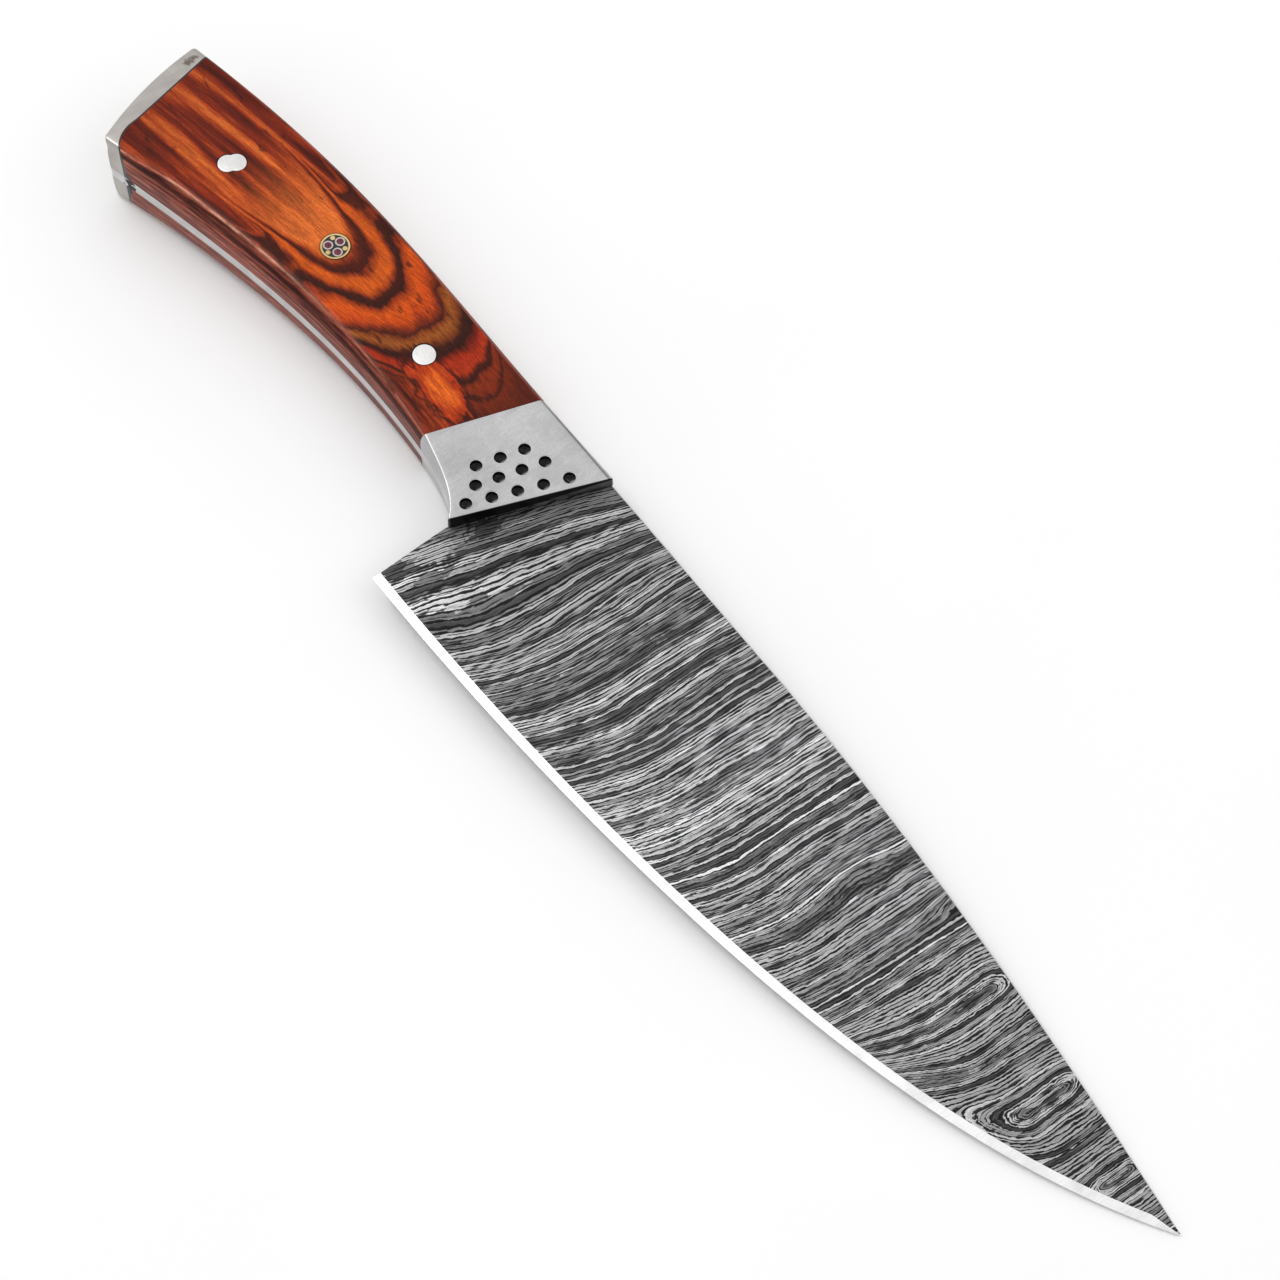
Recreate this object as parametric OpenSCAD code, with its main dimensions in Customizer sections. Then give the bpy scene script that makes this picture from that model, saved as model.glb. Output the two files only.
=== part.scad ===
// Full-tang chef knife lying on its left side.
//
// The knife is drawn in its own frame: x runs along the spine towards the tip, y from the
// edge towards the spine, and z is zero on the middle plane of the blade. The corner where
// the bolster front meets the spine is at [0, 0, 0]. lay_down() then turns the finished
// knife so that the flat of its left scale and the tip both touch the plane z = 0.

/* [Blade] */
// Length from the heel to the tip
blade_length = 203.4; // [190:0.2:210]
// Depth from the spine to the heel of the edge
heel_depth = 51.7; // [48:0.1:55]
// How far the tip lies below the line of the spine
tip_drop = 11.3; // [9:0.1:13]
// Length of spine in front of the bolsters that stays straight
straight_spine = 58; // [40:1:80]
// Thickness of the spine and of the tang
spine_thickness = 3; // [2.4:0.1:3.4]
// Thickness of the spine at the tip
tip_thickness = 1; // [0.6:0.1:1.6]
// Thickness of the blade behind the sharpened bevel
shoulder_thickness = 0.5; // [0.4:0.05:0.8]
// Width of the sharpened bevel
bevel_width = 1.9; // [1.2:0.1:2.6]

/* [Bolsters] */
// Lean of the bolster fronts, measured from square to the spine
front_lean = 20.1; // [16:0.1:22]
// Thickness over both bolsters at their front corner on the spine
front_thickness = 8.8; // [7.6:0.1:10]
// Length of the bolsters along the spine
bolster_length = 22.2; // [21:0.1:24]
// Lean of the joint between the bolsters and the scales
joint_lean = 17.2; // [15:0.1:19]
// Diameter of the decorative dimples
dimple_diameter = 2.7; // [2.4:0.1:3.2]
// Depth of the dimples below the bolster face
dimple_depth = 1.5; // [1:0.1:1.8]
// Diameter of the blind dowels that tie the bolsters and caps to the tang
dowel_diameter = 3; // [2:0.5:3]

/* [Handle] */
// Length from the bolster corner to the butt, along the spine
handle_length = 139.2; // [139:0.1:141]
// Thickness over both butt caps at the end of the handle
butt_thickness = 20.8; // [19:0.2:22]
// Width of the butt caps on the face of the handle
cap_width = 3.6; // [3:0.1:4.5]
// Width of the black epoxy seam between each cap and its scale
seam_width = 0.4; // [0.3:0.05:0.6]

/* [Pins] */
// Diameter of the plain round pin next to the bolsters
front_pin_diameter = 5; // [4:0.25:6]
// Diameter of each of the two rods that make the rear pin
rear_rod_diameter = 4.4; // [4:0.1:5]
// Distance between the two rods of the rear pin
rear_rod_spacing = 1.9; // [1.2:0.1:2]
// Outer diameter of the mosaic pin
mosaic_diameter = 6.35; // [6.25:0.05:7]
// Wall of the brass tube of the mosaic pin
mosaic_wall = 0.4; // [0.25:0.05:0.45]
// Outer diameter of the three small tubes in the mosaic pin
tubelet_diameter = 2.2; // [2:0.05:2.3]
// Diameter of the dark core in each small tube
core_diameter = 1.55; // [1.4:0.05:1.7]
// Diameter of the three brass rods in the mosaic pin
mosaic_rod_diameter = 1.05; // [0.7:0.05:1.1]

/* [Hidden] */
$fn = 48;

// How far the cutting shapes reach past the knife, and the lowest y that they reach
reach = 20;
far_below = -60;
// Height of the shapes that cut right through the knife
through = 60;

// Blade outline
heel_x = -12.3;
tip = [heel_x + blade_length, -tip_drop];
blade_stations = 44;
// Power by which the stations draw together towards the tip, where the edge curves most
station_power = 1.4;
// How far the spine is sunk between the bolsters, below their tops
spine_sink = 0.05;
// Powers by which the spine falls towards the tip and the blade thins towards it
spine_fall_power = 1.72;
distal_power = 1.1;
// The last station stops just short of the point, which is left this blunt
last_station = 0.998;
// The edge rises to the tip with the square of the distance from the heel, and for the
// rest with its sixth power
square_share = 0.68;
// Half of the thickness left at the sharpened edge itself
edge_half = 0.03;
// Most that the bevel takes of the depth, and the shoulder of the spine's thickness
bevel_share = 0.45;
shoulder_share = 0.7;
// Least and most of the depth that is left at full thickness
full_shares = [0.06, 0.9];
// Depth of full thickness below the spine, at the heel and where it has faded out
ricasso_depth = 35;
ricasso_end = 46;

// Handle outline on the middle plane
butt_top = [-handle_length, -9.2];
butt_corner = [-131, -38.2];
top_curve = [[0, 0.1], [-54.6, -2.1], [-82.7, 3.4], [-141.5, -9.6]];
belly_curve = [[-31, -26.8], [-66.6, -24.4], [-95.5, -31.2], [-131, -40]];
flare_curve = [[-31, -26.8], [-24.5, -27.6], [-16.5, -28.3], [heel_x, -32.9]];
butt_bulge = 1.4;
// Where the inner line of the caps starts to turn forward, on the line of the butt
cap_turn = [-134.1, -31];
cap_turn_radius = 8;
cap_lean = 0.236;
corner_radius = 1.8;

// The two flats of the handle meet ahead of the tip, at the x where the knife lies on one
// of them with the side of its tip just touching
butt_half = butt_thickness / 2;
tip_half = tip_thickness / 2;
flats_meet = (tip.x * butt_half + handle_length * tip_half) / (butt_half - tip_half);
flat_slope = butt_half / (flats_meet + handle_length);
lie_angle = atan(flat_slope);

// Rounding of the handle sides: how far the flat's edge lies inside the widest outline
belly_inset_front = 0.7;
belly_inset_middle = 2.8;
belly_inset_butt = 1;
// Where along the handle this inset starts to grow and to fade, and over what length
inset_grows = [-15, 60];
inset_fades = [-108, 22];
top_inset = 1.3;
side_power = 5.5;
handle_stations = 30;
barrel_front = 3;
barrel_end = -handle_length - 6;
// The barrel is drawn this much thicker than the flats that cut it
past_flat = 1.15;
side_levels = [-1, -0.93, -0.86, -0.77, -0.65, -0.4, 0, 0.4, 0.65, 0.77, 0.86, 0.93, 1];

// The tang starts inside the blade and runs out past the butt, where the butt's plan cuts it
tang_front = -6;
tang_steps = 24;
tang_belly_end = -130;
tang_low_corner = [-131, -39.9];

// Pins on the middle line of the handle
front_pin_at = [-45.9, -14.8];
mosaic_at = [-78.6, -14.6];
rear_pin_at = [-109.1, -20.4];
rear_pin_turn = 62;
tubelet_ring = 1.55;
rod_ring = 2.15;
tubelet_turn = 104;
rod_turn = 40;

// Dowels under the bolsters and the caps
bolster_dowels_at = [[-20.5, -4], [-22.8, -22.8]];
butt_dowels_at = [[-136.3, -14.5], [-132.2, -30.5]];
bolster_dowel_half = 4.6;
butt_dowel_half = 7;
butt_dowel_diameter = 2;

// The cone at the bottom of a dimple reaches this far below and above the dimple's depth
dimple_cone = 0.4;
// Rows of dimples: count, distance of the first one from the spine along the front,
// pitch, distance behind the front, and how much each next one creeps forward
dimple_rows = [[5, 8.6, 5.5, 2.4, 0],
               [4, 12.4, 5.05, 7.2, -0.45],
               [3, 15.7, 5.3, 11, -0.5]];

// Cubic curve through its first and last points
function bezier(p, t) =
    pow(1 - t, 3) * p[0] + 3 * pow(1 - t, 2) * t * p[1] + 3 * (1 - t) * t * t * p[2] + pow(t, 3) * p[3];

// Height of a curve above a given x, found by halving
function curve_y(p, x, low = 0, high = 1, steps = 22) =
    let (middle = (low + high) / 2, here = bezier(p, middle), rising = p[3].x > p[0].x)
    steps == 0 ? here.y
    : (here.x < x) == rising ? curve_y(p, x, middle, high, steps - 1)
    : curve_y(p, x, low, middle, steps - 1);

// Straight continuation of a curve past its last point
function past_end(p, x) = p[3].y + (x - p[3].x) * (p[3].y - p[2].y) / (p[3].x - p[2].x);

function handle_top(x) =
    x > 0 ? top_curve[0].y : x < top_curve[3].x ? past_end(top_curve, x) : curve_y(top_curve, x);
function handle_belly(x) =
    x < belly_curve[3].x ? belly_curve[3].y
    : x < belly_curve[0].x ? curve_y(belly_curve, x)
    : x < heel_x ? curve_y(flare_curve, x)
    : flare_curve[3].y;

function blade_top(x) =
    x < straight_spine ? 0
    : -tip_drop * pow((x - straight_spine) / (tip.x - straight_spine), spine_fall_power);
function half_spine(x) =
    (spine_thickness + (tip_thickness - spine_thickness) * pow(max(0, x) / tip.x, distal_power)) / 2;
function ease(u) = let (v = min(1, max(0, u))) v * v * (3 - 2 * v);
function full_depth(x) = ricasso_depth * (1 - ease((x - heel_x) / (ricasso_end - heel_x)));

function front_x(y) = y * tan(front_lean);
function joint_x(y) = -bolster_length + y * tan(joint_lean);

// Half thickness of the handle between its flats, and of the bolsters, which taper to
// the blade from the joint with the scales
function flat_half(x) = (flats_meet - x) * flat_slope;
joint_depth = 27;
joint_top = [joint_x(0), 0];
joint_low = [joint_x(-joint_depth), -joint_depth];
bolster_run = (flat_half(joint_top.x) - front_thickness / 2) / bolster_length;
bolster_rise = (front_thickness / 2 - bolster_run * joint_low.x - flat_half(joint_low.x)) / joint_depth;
function bolster_half(x, y) = front_thickness / 2 - bolster_run * x + bolster_rise * y;

// Joins rings of points into one closed solid
module loft(rings) {
    count = len(rings[0]);
    last = len(rings) - 1;
    points = [for (ring = rings) each ring];
    sides = [for (i = [0:last - 1], j = [0:count - 1])
        let (k = (j + 1) % count)
        each [[i * count + j, (i + 1) * count + j, i * count + k],
              [i * count + k, (i + 1) * count + j, (i + 1) * count + k]]];
    ends = [[for (j = [0:count - 1]) j], [for (j = [count - 1:-1:0]) last * count + j]];
    polyhedron(points, concat(sides, ends), convexity = 6);
}

// Turns the knife so that it lies on the flat of its left scale, centred on the origin
module lay_down() {
    butt_end = -(flats_meet + handle_length) / cos(lie_angle);
    tip_end = (heel_x + last_station * blade_length - flats_meet) * cos(lie_angle);
    translate([-(butt_end + tip_end) / 2, heel_depth / 2, 0])
        rotate([0, lie_angle, 0])
            translate([-flats_meet, 0, 0])
                children();
}

// A block whose half thickness at x, y is half(x, y), which changes evenly from end to end.
// halves holds it at [low x, low y], [low x, high y], [high x, low y] and [high x, high y].
module tapered_block(x_low, x_high, y_low, y_high, halves) {
    loft([for (i = [0, 1])
        let (x = [x_low, x_high][i], low = halves[2 * i], high = halves[2 * i + 1])
        [[x, y_low, low], [x, y_low, -low], [x, y_high, -high], [x, y_high, high]]]);
}

module between_flats() {
    ends = [-handle_length - reach, reach];
    halves = [for (x = ends) each [flat_half(x), flat_half(x)]];
    tapered_block(ends[0], ends[1], far_below, reach, halves);
}

module between_bolster_faces() {
    ends = [far_below, reach];
    halves = [for (x = ends) each [bolster_half(x, far_below), bolster_half(x, reach)]];
    tapered_block(ends[0], ends[1], far_below, reach, halves);
}

// Half space on one side of the tang: side is 1 for the right and -1 for the left
module beside_tang(side) {
    depth = 30;
    middle = side * (spine_thickness / 2 + depth / 2);
    translate([0, -reach, middle])
        cube([3 * handle_length, 5 * reach, depth], center = true);
}

// How far the belly side draws in from its widest outline to the edge of the flat
function belly_inset(x) =
    belly_inset_front
    + (belly_inset_middle - belly_inset_front) * ease((inset_grows[0] - x) / inset_grows[1])
    - (belly_inset_middle - belly_inset_butt) * ease((inset_fades[0] - x) / inset_fades[1]);

// One ring of the handle's barrel: down the belly side and up the spine side
function handle_ring(x) =
    let (half = flat_half(x) * past_flat)
    concat(
        [for (level = side_levels)
            let (inset = belly_inset(x) * pow(past_flat * abs(level), side_power))
            [x, handle_belly(x) + inset, -level * half]],
        [for (level = side_levels)
            let (inset = top_inset * pow(past_flat * abs(level), side_power))
            [x, handle_top(x) - inset, level * half]]);

module handle_barrel() {
    x_step = (barrel_front - barrel_end) / handle_stations;
    loft([for (i = [0:handle_stations]) handle_ring(barrel_end + i * x_step)]);
}

function arc(centre, radius, from, to, steps) =
    [for (i = [0:steps])
        let (a = from + (to - from) * i / steps)
        centre + radius * [cos(a), sin(a)]];

// Plan of the whole handle: only its butt end is shaped, the rest reaches past the barrel
module butt_plan() {
    chord = butt_corner - butt_top;
    outward = [chord.y, -chord.x] / norm(chord);
    butt_line = [for (i = [0:8])
        let (s = i / 8)
        butt_top + s * chord + 4 * s * (1 - s) * butt_bulge * outward];
    last_step = chord - 4 * butt_bulge * outward;
    corner_from = 360 + atan2(-last_step.x, last_step.y);
    corner_centre = butt_corner - corner_radius * [cos(corner_from), sin(corner_from)];
    corner = arc(corner_centre, corner_radius, corner_from + 6, 270, 6);
    front = [[reach, reach], [butt_top.x, reach]];
    below = [[corner_centre.x, far_below], [reach, far_below]];
    polygon(concat(front, butt_line, corner, below));
}

// Plan of everything in front of the butt caps; the line turns forward along the belly
module wood_end_plan(gap) {
    centre = [cap_turn.x + cap_width + cap_turn_radius, cap_turn.y];
    start = centre - [cap_turn_radius - gap, 0];
    top = start + (reach - start.y) * [-cap_lean, 1];
    turn = arc(centre, cap_turn_radius - gap, 183, 270, 10);
    polygon(concat([[reach, reach], top], turn, [[centre.x, far_below], [reach, far_below]]));
}

module bolster_plan() {
    high = reach;
    low = far_below;
    polygon([[front_x(high), high], [joint_x(high), high], [joint_x(low), low], [front_x(low), low]]);
}

module behind_joint_plan() {
    high = reach;
    low = far_below;
    back = -handle_length - reach;
    polygon([[joint_x(high), high], [back, high], [back, low], [joint_x(low), low]]);
}

module tall(height = through) {
    linear_extrude(height = height, center = true)
        children();
}

// Outline of the tang, flush with the handle and running on into the blade
module tang_plan() {
    top_step = (-handle_length - tang_front) / tang_steps;
    belly_step = (heel_x - tang_belly_end) / tang_steps;
    top = [for (i = [0:tang_steps]) let (x = tang_front + i * top_step) [x, handle_top(x)]];
    belly = [for (i = [0:tang_steps]) let (x = tang_belly_end + i * belly_step) [x, handle_belly(x)]];
    behind = [barrel_end, butt_corner.y];
    intersection() {
        polygon(concat(top, [behind, tang_low_corner], belly, [[tang_front, flare_curve[3].y]]));
        butt_plan();
    }
}

module round_hole(at, diameter) {
    translate([at.x, at.y, 0])
        cylinder(h = through, d = diameter, center = true);
}

module rear_pin_section() {
    for (side = [-1, 1])
        translate(rear_pin_at + side * rear_rod_spacing / 2 * [cos(rear_pin_turn), sin(rear_pin_turn)])
            circle(d = rear_rod_diameter);
}

module pin_holes() {
    round_hole(front_pin_at, front_pin_diameter);
    round_hole(mosaic_at, mosaic_diameter);
    tall()
        rear_pin_section();
}

module dowel(at, diameter, half) {
    translate([at.x, at.y, 0])
        cylinder(h = 2 * half, d = diameter, center = true);
}

module bolster_dowel_shapes() {
    for (at = bolster_dowels_at)
        dowel(at, dowel_diameter, bolster_dowel_half);
}

module butt_dowel_shapes() {
    for (at = butt_dowels_at)
        dowel(at, butt_dowel_diameter, butt_dowel_half);
}

function edge_y(u) =
    -heel_depth + (heel_depth - tip_drop) * (square_share * pow(u, 2) + (1 - square_share) * pow(u, 6));
function edge_slope(u) =
    (heel_depth - tip_drop) / blade_length * (2 * square_share * u + 6 * (1 - square_share) * pow(u, 5));

// One ring of the blade, from the right of the spine round the edge to the left, where u
// runs from 0 at the heel to 1 at the tip
function blade_ring(u) =
    let (x = heel_x + u * blade_length,
         top = min(blade_top(x), handle_top(x) - spine_sink),
         edge = edge_y(u),
         depth = top - edge,
         bevel = min(bevel_width * norm([1, edge_slope(u)]), bevel_share * depth),
         thick = half_spine(x),
         thin = min(shoulder_thickness / 2, shoulder_share * thick),
         flat_y = top - max(min(full_depth(x), full_shares[1] * depth), full_shares[0] * depth))
    [[x, top, thick], [x, flat_y, thick], [x, edge + bevel, thin], [x, edge, edge_half],
     [x, edge, -edge_half], [x, edge + bevel, -thin], [x, flat_y, -thick], [x, top, -thick]];

module blade_body() {
    loft([for (i = [0:blade_stations])
        blade_ring(last_station * (1 - pow(1 - i / blade_stations, station_power)))]);
}

module handle_half(side) {
    intersection() {
        handle_barrel();
        between_flats();
        beside_tang(side);
        tall() butt_plan();
    }
}

// Points of the dimples, measured from the front line of the bolster
function dimple_at(row, i) =
    let (along = row[1] + i * row[2],
         behind = row[3] + i * row[4])
    along * [-sin(front_lean), -cos(front_lean)] + behind * [-cos(front_lean), sin(front_lean)];

module dimples(side) {
    for (row = dimple_rows, i = [0:row[0] - 1]) {
        at = dimple_at(row, i);
        face = bolster_half(at.x, at.y);
        translate([at.x, at.y, side * (face - dimple_depth)])
            mirror([0, 0, side < 0 ? 1 : 0])
                rotate_extrude($fn = 24)
                    polygon([[0, -dimple_cone], [dimple_diameter / 2, dimple_cone],
                             [dimple_diameter / 2, 2 * dimple_depth], [0, 2 * dimple_depth]]);
    }
}

module blade() {
    color([0.5, 0.5, 0.52])
        lay_down() difference() {
            union() {
                blade_body();
                linear_extrude(height = spine_thickness, center = true)
                    tang_plan();
            }
            pin_holes();
            bolster_dowel_shapes();
            butt_dowel_shapes();
        }
}

module bolster(side) {
    color([0.75, 0.75, 0.76])
        lay_down() difference() {
            intersection() {
                handle_half(side);
                between_bolster_faces();
                tall() bolster_plan();
            }
            bolster_dowel_shapes();
            dimples(side);
        }
}

module scale_panel(side) {
    color([0.6, 0.25, 0.1])
        lay_down() difference() {
            intersection() {
                handle_half(side);
                tall() behind_joint_plan();
                tall() wood_end_plan(seam_width);
            }
            pin_holes();
        }
}

module butt_cap(side) {
    color([0.72, 0.71, 0.69])
        lay_down() difference() {
            handle_half(side);
            tall() wood_end_plan(0);
            butt_dowel_shapes();
        }
}

module epoxy_seam(side) {
    color([0.05, 0.05, 0.05])
        lay_down() intersection() {
            handle_half(side);
            tall()
                difference() {
                    wood_end_plan(0);
                    wood_end_plan(seam_width);
                }
        }
}

module front_pin() {
    color([0.9, 0.9, 0.9])
        lay_down() intersection() {
            round_hole(front_pin_at, front_pin_diameter);
            between_flats();
        }
}

module rear_pin() {
    color([0.9, 0.9, 0.9])
        lay_down() intersection() {
            tall() rear_pin_section();
            between_flats();
        }
}

// Centres of the three small tubes, or of the three rods, round the mosaic pin
function around(ring, turn, i) = mosaic_at + ring * [cos(turn + 120 * i), sin(turn + 120 * i)];

module mosaic_tube() {
    color([0.8, 0.65, 0.3])
        lay_down() intersection() {
            difference() {
                round_hole(mosaic_at, mosaic_diameter);
                round_hole(mosaic_at, mosaic_diameter - 2 * mosaic_wall);
            }
            between_flats();
        }
}

module mosaic_resin() {
    color([0.05, 0.04, 0.04])
        lay_down() intersection() {
            difference() {
                round_hole(mosaic_at, mosaic_diameter - 2 * mosaic_wall);
                for (i = [0:2]) {
                    round_hole(around(tubelet_ring, tubelet_turn, i), tubelet_diameter);
                    round_hole(around(rod_ring, rod_turn, i), mosaic_rod_diameter);
                }
            }
            between_flats();
        }
}

module mosaic_tubelet(i) {
    color([0.8, 0.78, 0.78])
        lay_down() intersection() {
            difference() {
                round_hole(around(tubelet_ring, tubelet_turn, i), tubelet_diameter);
                round_hole(around(tubelet_ring, tubelet_turn, i), core_diameter);
            }
            between_flats();
        }
}

module mosaic_core(i) {
    color([0.35, 0.1, 0.12])
        lay_down() intersection() {
            round_hole(around(tubelet_ring, tubelet_turn, i), core_diameter);
            between_flats();
        }
}

module mosaic_rod(i) {
    color([0.8, 0.65, 0.3])
        lay_down() intersection() {
            round_hole(around(rod_ring, rod_turn, i), mosaic_rod_diameter);
            between_flats();
        }
}

module bolster_dowel(i) {
    color([0.6, 0.6, 0.62])
        lay_down() dowel(bolster_dowels_at[i], dowel_diameter, bolster_dowel_half);
}

module butt_dowel(i) {
    color([0.6, 0.6, 0.62])
        lay_down() dowel(butt_dowels_at[i], butt_dowel_diameter, butt_dowel_half);
}

blade();
bolster(1);  // bolster_right
bolster(-1);  // bolster_left
scale_panel(1);  // scale_right
scale_panel(-1);  // scale_left
butt_cap(1);  // butt_cap_right
butt_cap(-1);  // butt_cap_left
epoxy_seam(1);  // epoxy_seam_right
epoxy_seam(-1);  // epoxy_seam_left
front_pin();
rear_pin();
mosaic_tube();
mosaic_resin();
mosaic_tubelet(0);  // mosaic_tubelet_1
mosaic_tubelet(1);  // mosaic_tubelet_2
mosaic_tubelet(2);  // mosaic_tubelet_3
mosaic_core(0);  // mosaic_core_1
mosaic_core(1);  // mosaic_core_2
mosaic_core(2);  // mosaic_core_3
mosaic_rod(0);  // mosaic_rod_1
mosaic_rod(1);  // mosaic_rod_2
mosaic_rod(2);  // mosaic_rod_3
bolster_dowel(0);  // bolster_dowel_upper
bolster_dowel(1);  // bolster_dowel_lower
butt_dowel(0);  // butt_dowel_upper
butt_dowel(1);  // butt_dowel_lower
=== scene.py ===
import math

import bmesh
import bpy
import numpy as np
from mathutils import Matrix, Vector


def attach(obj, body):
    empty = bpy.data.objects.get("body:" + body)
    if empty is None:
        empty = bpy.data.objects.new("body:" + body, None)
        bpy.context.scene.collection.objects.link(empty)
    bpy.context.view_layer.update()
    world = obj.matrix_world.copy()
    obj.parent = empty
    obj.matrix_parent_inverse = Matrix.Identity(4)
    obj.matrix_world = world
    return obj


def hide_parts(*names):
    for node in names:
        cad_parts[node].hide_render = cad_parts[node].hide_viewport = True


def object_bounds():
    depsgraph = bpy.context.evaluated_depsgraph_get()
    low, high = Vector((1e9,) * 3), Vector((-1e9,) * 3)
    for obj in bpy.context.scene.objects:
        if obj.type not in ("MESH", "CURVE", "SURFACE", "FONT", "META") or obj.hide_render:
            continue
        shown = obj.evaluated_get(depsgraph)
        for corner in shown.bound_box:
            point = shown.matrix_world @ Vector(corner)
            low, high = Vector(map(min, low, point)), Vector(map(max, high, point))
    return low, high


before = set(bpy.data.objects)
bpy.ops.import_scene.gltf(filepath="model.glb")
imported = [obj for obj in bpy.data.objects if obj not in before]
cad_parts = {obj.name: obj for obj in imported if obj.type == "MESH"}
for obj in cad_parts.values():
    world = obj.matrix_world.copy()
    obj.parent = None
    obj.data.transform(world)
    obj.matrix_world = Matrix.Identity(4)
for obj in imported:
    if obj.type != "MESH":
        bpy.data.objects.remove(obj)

cad_low, cad_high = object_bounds()

# --- The knife's dimensions, in millimetres -------------------------------------------

BLADE_LENGTH = 203.4
HEEL_DEPTH = 51.7
HEEL_X = -12.3
TIP_DROP = 11.3
STRAIGHT_SPINE = 58
SPINE_HALF = 1.5
TIP_HALF = 0.5
SHOULDER_HALF = 0.25
BEVEL_WIDTH = 1.9
EDGE_HALF = 0.03
LAST_STATION = 0.998
SQUARE_SHARE = 0.68
SPINE_FALL_POWER = 1.72
DISTAL_POWER = 1.1
RICASSO_DEPTH = 35
RICASSO_END = 46
# Most that the bevel takes of the depth and the shoulder of the spine's thickness, and the
# least and most of the depth that is left at full thickness
BEVEL_SHARE = 0.45
SHOULDER_SHARE = 0.7
FULL_SHARES = (0.06, 0.9)
# Power by which the stations draw together towards the tip
STATION_POWER = 1.4

FRONT_SLOPE = math.tan(math.radians(20.1))
FRONT_HALF = 4.4
BOLSTER_LENGTH = 22.2
JOINT_SLOPE = math.tan(math.radians(17.2))
JOINT_DEPTH = 27
DIMPLE_RADIUS = 1.35
DIMPLE_DEPTH = 1.5
DIMPLE_ROWS = [(5, 8.6, 5.5, 2.4, 0), (4, 12.4, 5.05, 7.2, -0.45), (3, 15.7, 5.3, 11, -0.5)]

HANDLE_LENGTH = 139.2
BUTT_HALF = 10.4
CAP_WIDTH = 3.6
SEAM_WIDTH = 0.4
TOP_CURVE = [(0, 0.1), (-54.6, -2.1), (-82.7, 3.4), (-141.5, -9.6)]
BELLY_CURVE = [(-31, -26.8), (-66.6, -24.4), (-95.5, -31.2), (-131, -40)]
FLARE_CURVE = [(-31, -26.8), (-24.5, -27.6), (-16.5, -28.3), (HEEL_X, -32.9)]
BUTT_TOP = np.array([-HANDLE_LENGTH, -9.2])
BUTT_CORNER = np.array([-131, -38.2])
BUTT_BULGE = 1.4
CORNER_RADIUS = 1.8
CAP_TURN = (-134.1, -31)
CAP_TURN_RADIUS = 8
CAP_LEAN = 0.236
# Inset of the belly side at the front, middle and butt, and where it starts to grow and to
# fade, each with the length over which it does
BELLY_INSETS = (0.7, 2.8, 1)
INSET_GROWS = (-15, 60)
INSET_FADES = (-108, 22)
TOP_INSET = 1.3
SIDE_POWER = 5.5

FRONT_PIN = (-45.9, -14.8)
FRONT_PIN_RADIUS = 2.5
MOSAIC_PIN = (-78.6, -14.6)
MOSAIC_RADIUS = 3.175
REAR_PIN = (-109.1, -20.4)
REAR_PIN_RADIUS = 2.2
REAR_PIN_SPACING = 1.9
REAR_PIN_TURN = math.radians(62)
# Width of the line of glue round each pin
FRONT_GLUE = 0.13
REAR_GLUE = 0.16
MOSAIC_GLUE = 0.08

TIP_X = HEEL_X + BLADE_LENGTH
FLATS_MEET = (TIP_X * BUTT_HALF + HANDLE_LENGTH * TIP_HALF) / (BUTT_HALF - TIP_HALF)
FLAT_SLOPE = BUTT_HALF / (FLATS_MEET + HANDLE_LENGTH)
LIE_ANGLE = math.atan(FLAT_SLOPE)

# Where the knife's own frame lies in the row's frame: turned about the line where the two
# flats meet, and moved so that its ends and edge are those of the CAD box
LIE = Matrix.Rotation(LIE_ANGLE, 3, "Y")
BUTT_END = -(FLATS_MEET + HANDLE_LENGTH) / math.cos(LIE_ANGLE)
SHIFT = Vector((cad_low.x * 1000 - BUTT_END, cad_low.y * 1000 + HEEL_DEPTH, 0))
ORIGIN = SHIFT - LIE @ Vector((FLATS_MEET, 0, 0))


def to_row(points):
    """Knife millimetres to metres in the row's frame."""
    turned = np.asarray(points, float) @ np.array(LIE).T + np.array(ORIGIN)
    return turned / 1000


# --- Curves of the knife --------------------------------------------------------------


def ease(u):
    u = np.clip(u, 0, 1)
    return u * u * (3 - 2 * u)


def curve_table(points):
    """A cubic curve as x and y, sorted by x."""
    t = np.linspace(0, 1, 400)[:, None]
    p = np.array(points, float)
    curve = (1 - t) ** 3 * p[0] + 3 * (1 - t) ** 2 * t * p[1] + 3 * (1 - t) * t ** 2 * p[2] + t ** 3 * p[3]
    return curve[np.argsort(curve[:, 0])]


TOP_TABLE = curve_table(TOP_CURVE)
BELLY_TABLE = np.vstack([curve_table(BELLY_CURVE), curve_table(FLARE_CURVE)])


def handle_top(x):
    return np.interp(x, TOP_TABLE[:, 0], TOP_TABLE[:, 1])


def handle_belly(x):
    return np.interp(x, BELLY_TABLE[:, 0], BELLY_TABLE[:, 1])


def belly_inset(x):
    front, middle, butt = BELLY_INSETS
    grown = ease((INSET_GROWS[0] - x) / INSET_GROWS[1])
    faded = ease((INSET_FADES[0] - x) / INSET_FADES[1])
    return front + (middle - front) * grown - (middle - butt) * faded


def flat_half(x):
    """Half thickness of the handle between its flats."""
    return (FLATS_MEET - x) * FLAT_SLOPE


def belly_y(x, z):
    return handle_belly(x) + belly_inset(x) * (z / flat_half(x)) ** SIDE_POWER


def top_y(x, z):
    return handle_top(x) - TOP_INSET * (z / flat_half(x)) ** SIDE_POWER


def wood_height(x, y):
    """Half thickness of the wood and caps, the same at every y."""
    return flat_half(x)


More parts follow.
